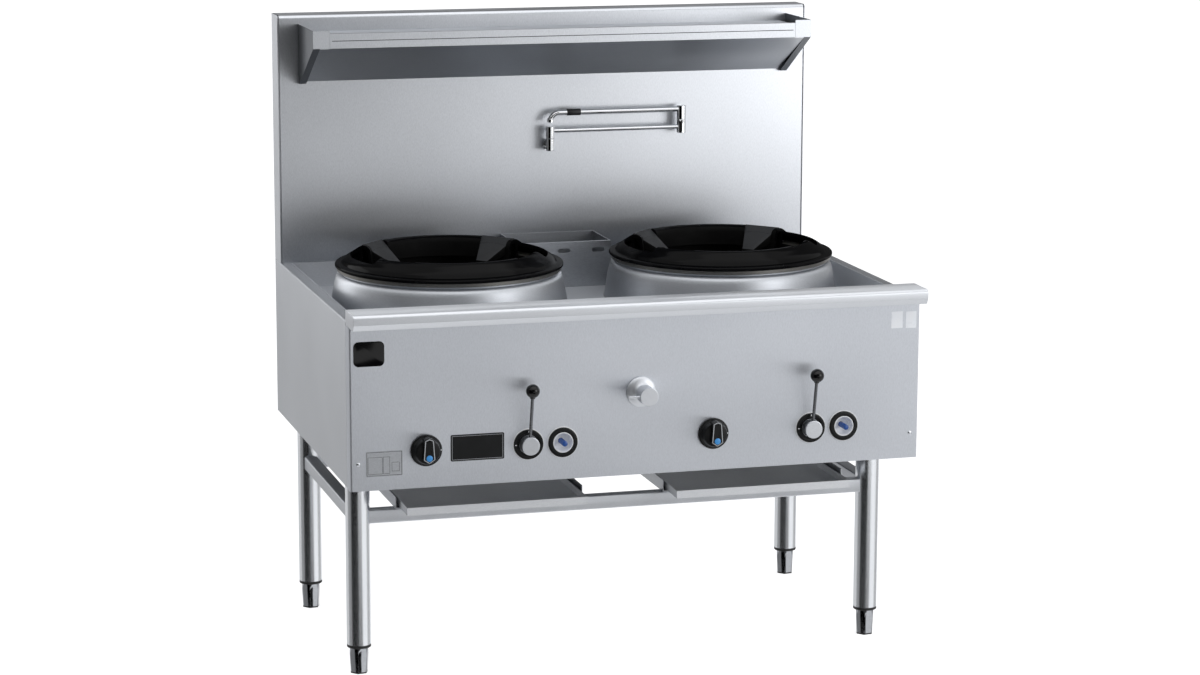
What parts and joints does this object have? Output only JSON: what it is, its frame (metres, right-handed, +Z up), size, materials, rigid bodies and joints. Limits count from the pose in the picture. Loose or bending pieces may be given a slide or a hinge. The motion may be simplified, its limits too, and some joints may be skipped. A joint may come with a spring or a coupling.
{
  "type": "wok range",
  "caption": "Wok range with a sunk hob deck, ringed chimneys over jet burners, a tall splashback with shelf, and a folding water spout.",
  "frame": {"origin": "on the floor, under the middle of the whole from the water knob to the rear panel", "axes": "+Z up, the front with the controls faces -Y, +X to the right as seen from the front"},
  "size_m": [1.2, 0.864, 1.301],
  "materials": {
    "brushed_stainless": "fine-grained satin stainless steel",
    "polished_stainless": "polished stainless steel",
    "bright_stainless": "bright polished",
    "chrome": "chromed brass",
    "black_enamelled_iron": "glossy black vitreous enamel",
    "black_plastic": "moulded, fine satin",
    "glossy_black_plastic": "polished phenolic",
    "blue_plastic": "moulded, satin",
    "brass": "machined",
    "cast_iron": "sand cast, heat-stained",
    "steel_pipe": "plain drawn pipe"
  },
  "bodies": {
    "range_body": {"burner_bearer": "brushed_stainless", "burner_left": "cast_iron", "burner_right": "cast_iron", "chimney_left": "brushed_stainless", "chimney_right": "brushed_stainless", "deck_pan": "brushed_stainless", "front_panel": "brushed_stainless", "gas_cock_left": "brass", "gas_cock_right": "brass", "gas_manifold": "steel_pipe", "igniter_left": "black_plastic", "igniter_right": "black_plastic", "ladle_basin": "brushed_stainless", "leg_back_left": "polished_stainless", "leg_back_right": "polished_stainless", "leg_front_left": "polished_stainless", "leg_front_right": "polished_stainless", "lever_bezel_left": "black_plastic", "lever_bezel_right": "black_plastic", "lever_valve_left": "brass", "lever_valve_right": "brass", "nose_rail": "brushed_stainless", "rail_back": "brushed_stainless", "rail_front": "brushed_stainless", "rail_left": "brushed_stainless", "rail_right": "brushed_stainless", "rear_panel": "brushed_stainless", "shelf": "brushed_stainless", "shelf_bracket_left": "brushed_stainless", "shelf_bracket_right": "brushed_stainless", "side_panel_left": "brushed_stainless", "side_panel_right": "brushed_stainless", "splashback": "brushed_stainless", "spout_wall_elbow": "chrome", "tray_runner_left_left": "brushed_stainless", "tray_runner_left_right": "brushed_stainless", "tray_runner_right_left": "brushed_stainless", "tray_runner_right_right": "brushed_stainless", "water_inlet_pipe": "steel_pipe", "water_riser": "steel_pipe", "water_valve": "chrome"},
    "gas_knob_left_body": {"gas_knob_left": "black_plastic"},
    "gas_knob_right_body": {"gas_knob_right": "black_plastic"},
    "valve_lever_left_body": {"valve_lever_left": "polished_stainless", "lever_ball_left": "glossy_black_plastic"},
    "valve_lever_right_body": {"valve_lever_right": "polished_stainless", "lever_ball_right": "glossy_black_plastic"},
    "igniter_button_left_body": {"igniter_button_left": "blue_plastic"},
    "igniter_button_right_body": {"igniter_button_right": "blue_plastic"},
    "water_knob_body": {"water_knob": "chrome"},
    "spout_lower_body": {"spout_lower_arm": "chrome"},
    "spout_upper_body": {"spout_upper_arm": "chrome"},
    "drip_tray_left_body": {"drip_tray_left": "brushed_stainless"},
    "drip_tray_right_body": {"drip_tray_right": "brushed_stainless"},
    "wok_ring_left_body": {"wok_ring_left": "black_enamelled_iron"},
    "wok_ring_right_body": {"wok_ring_right": "black_enamelled_iron"},
    "foot_front_left_body": {"foot_front_left": "bright_stainless"},
    "foot_front_right_body": {"foot_front_right": "bright_stainless"},
    "foot_back_left_body": {"foot_back_left": "bright_stainless"},
    "foot_back_right_body": {"foot_back_right": "bright_stainless"}
  },
  "joints": [
    {"name": "gas_knob_left_turn", "type": "hinge", "parent": "range_body", "child": "gas_knob_left_body", "pos_m": [-0.4464, -0.372, 0.4975], "axis": [0, 1, 0], "range_deg": [-180, 0]},
    {"name": "gas_knob_right_turn", "type": "hinge", "parent": "range_body", "child": "gas_knob_right_body", "pos_m": [0.1536, -0.372, 0.4975], "axis": [0, 1, 0], "range_deg": [-180, 0]},
    {"name": "valve_lever_left_turn", "type": "hinge", "parent": "range_body", "child": "valve_lever_left_body", "pos_m": [-0.2362, -0.372, 0.4975], "axis": [0, 1, 0], "range_deg": [-90, 0]},
    {"name": "valve_lever_right_turn", "type": "hinge", "parent": "range_body", "child": "valve_lever_right_body", "pos_m": [0.3638, -0.372, 0.4975], "axis": [0, 1, 0], "range_deg": [-90, 0]},
    {"name": "igniter_button_left_press", "type": "slide", "parent": "range_body", "child": "igniter_button_left_body", "axis": [0, 1, 0], "range_m": [0, 0.008], "stiffness_N_per_m": 400},
    {"name": "igniter_button_right_press", "type": "slide", "parent": "range_body", "child": "igniter_button_right_body", "axis": [0, 1, 0], "range_m": [0, 0.008], "stiffness_N_per_m": 400},
    {"name": "water_knob_turn", "type": "hinge", "parent": "range_body", "child": "water_knob_body", "pos_m": [0, -0.372, 0.5927], "axis": [0, 1, 0], "range_deg": [-90, 0]},
    {"name": "spout_swing", "type": "hinge", "parent": "range_body", "child": "spout_lower_body", "pos_m": [0, 0.336, 1.02], "axis": [0, 0, 1], "range_deg": [-180, 0]},
    {"name": "spout_fold", "type": "hinge", "parent": "spout_lower_body", "child": "spout_upper_body", "pos_m": [0.302, 0.336, 1.07], "axis": [0, 0, 1], "range_deg": [0, 180]},
    {"name": "drip_tray_left_slide", "type": "slide", "parent": "range_body", "child": "drip_tray_left_body", "axis": [0, -1, 0], "range_m": [0, 0.45]},
    {"name": "drip_tray_right_slide", "type": "slide", "parent": "range_body", "child": "drip_tray_right_body", "axis": [0, -1, 0], "range_m": [0, 0.45]},
    {"name": "wok_ring_left_lift", "type": "slide", "parent": "range_body", "child": "wok_ring_left_body", "axis": [0, 0, 1], "range_m": [0, 0.25]},
    {"name": "wok_ring_right_lift", "type": "slide", "parent": "range_body", "child": "wok_ring_right_body", "axis": [0, 0, 1], "range_m": [0, 0.25]},
    {"name": "foot_front_left_screw", "type": "slide", "parent": "range_body", "child": "foot_front_left_body", "axis": [0, 0, 1], "range_m": [-0.04, 0]},
    {"name": "foot_front_right_screw", "type": "slide", "parent": "range_body", "child": "foot_front_right_body", "axis": [0, 0, 1], "range_m": [-0.04, 0]},
    {"name": "foot_back_left_screw", "type": "slide", "parent": "range_body", "child": "foot_back_left_body", "axis": [0, 0, 1], "range_m": [-0.04, 0]},
    {"name": "foot_back_right_screw", "type": "slide", "parent": "range_body", "child": "foot_back_right_body", "axis": [0, 0, 1], "range_m": [-0.04, 0]}
  ]
}
